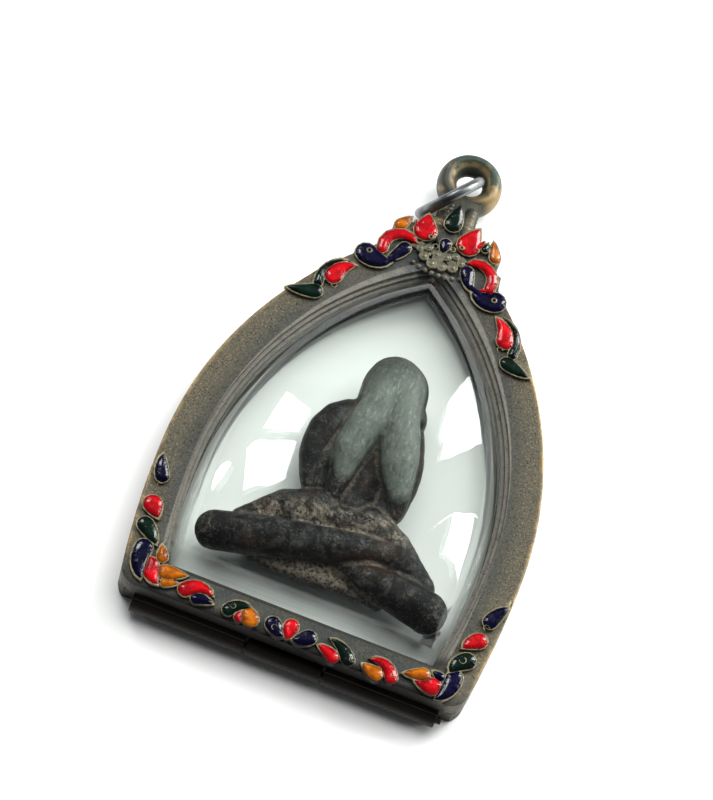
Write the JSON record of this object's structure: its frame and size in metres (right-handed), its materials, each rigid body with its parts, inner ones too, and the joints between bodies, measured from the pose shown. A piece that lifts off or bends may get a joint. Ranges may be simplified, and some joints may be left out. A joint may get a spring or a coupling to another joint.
{
  "type": "thai buddha amulet pendant",
  "caption": "Pointed-arch hinged brass pendant case with enamelled scrolls, a clear domed window over a seated figure, and a jump ring in its eye.",
  "frame": {"origin": "centre of the whole pendant's footprint, at the floor it lies on", "axes": "+Z out of the front face, +Y from the hinge towards the eye, +X to the right seen from the front"},
  "size_m": [0.053, 0.0848, 0.0153],
  "materials": {
    "antique_brass": "worn grey-green antique brass with golden edges",
    "dark_brass": "blackened",
    "clear_acrylic": "clear, lightly scratched",
    "red_enamel": "glossy enamel",
    "blue_enamel": "glossy enamel",
    "green_enamel": "glossy enamel",
    "orange_enamel": "glossy enamel",
    "steel_wire": "bright drawn wire",
    "dark_stone": "rough dark charcoal stone with tan dust"
  },
  "bodies": {
    "back": {"back_frame": "antique_brass", "back_window": "clear_acrylic", "figure": "dark_stone"},
    "front": {"front_frame": "antique_brass", "dome": "clear_acrylic", "enamel_red": "red_enamel", "enamel_blue": "blue_enamel", "enamel_green": "green_enamel", "enamel_orange": "orange_enamel", "hinge_pin": "dark_brass"},
    "ring": {"jump_ring": "steel_wire"}
  },
  "joints": [
    {"name": "case_hinge", "type": "hinge", "parent": "back", "child": "front", "pos_m": [0, -0.04121, 0.00298], "axis": [1, 0, 0], "range_deg": [0, 110]},
    {"name": "ring_swing", "type": "hinge", "parent": "front", "child": "ring", "pos_m": [0, 0.03769, 0.0045], "axis": [0, 0, 1], "range_deg": [-276, 0]}
  ]
}
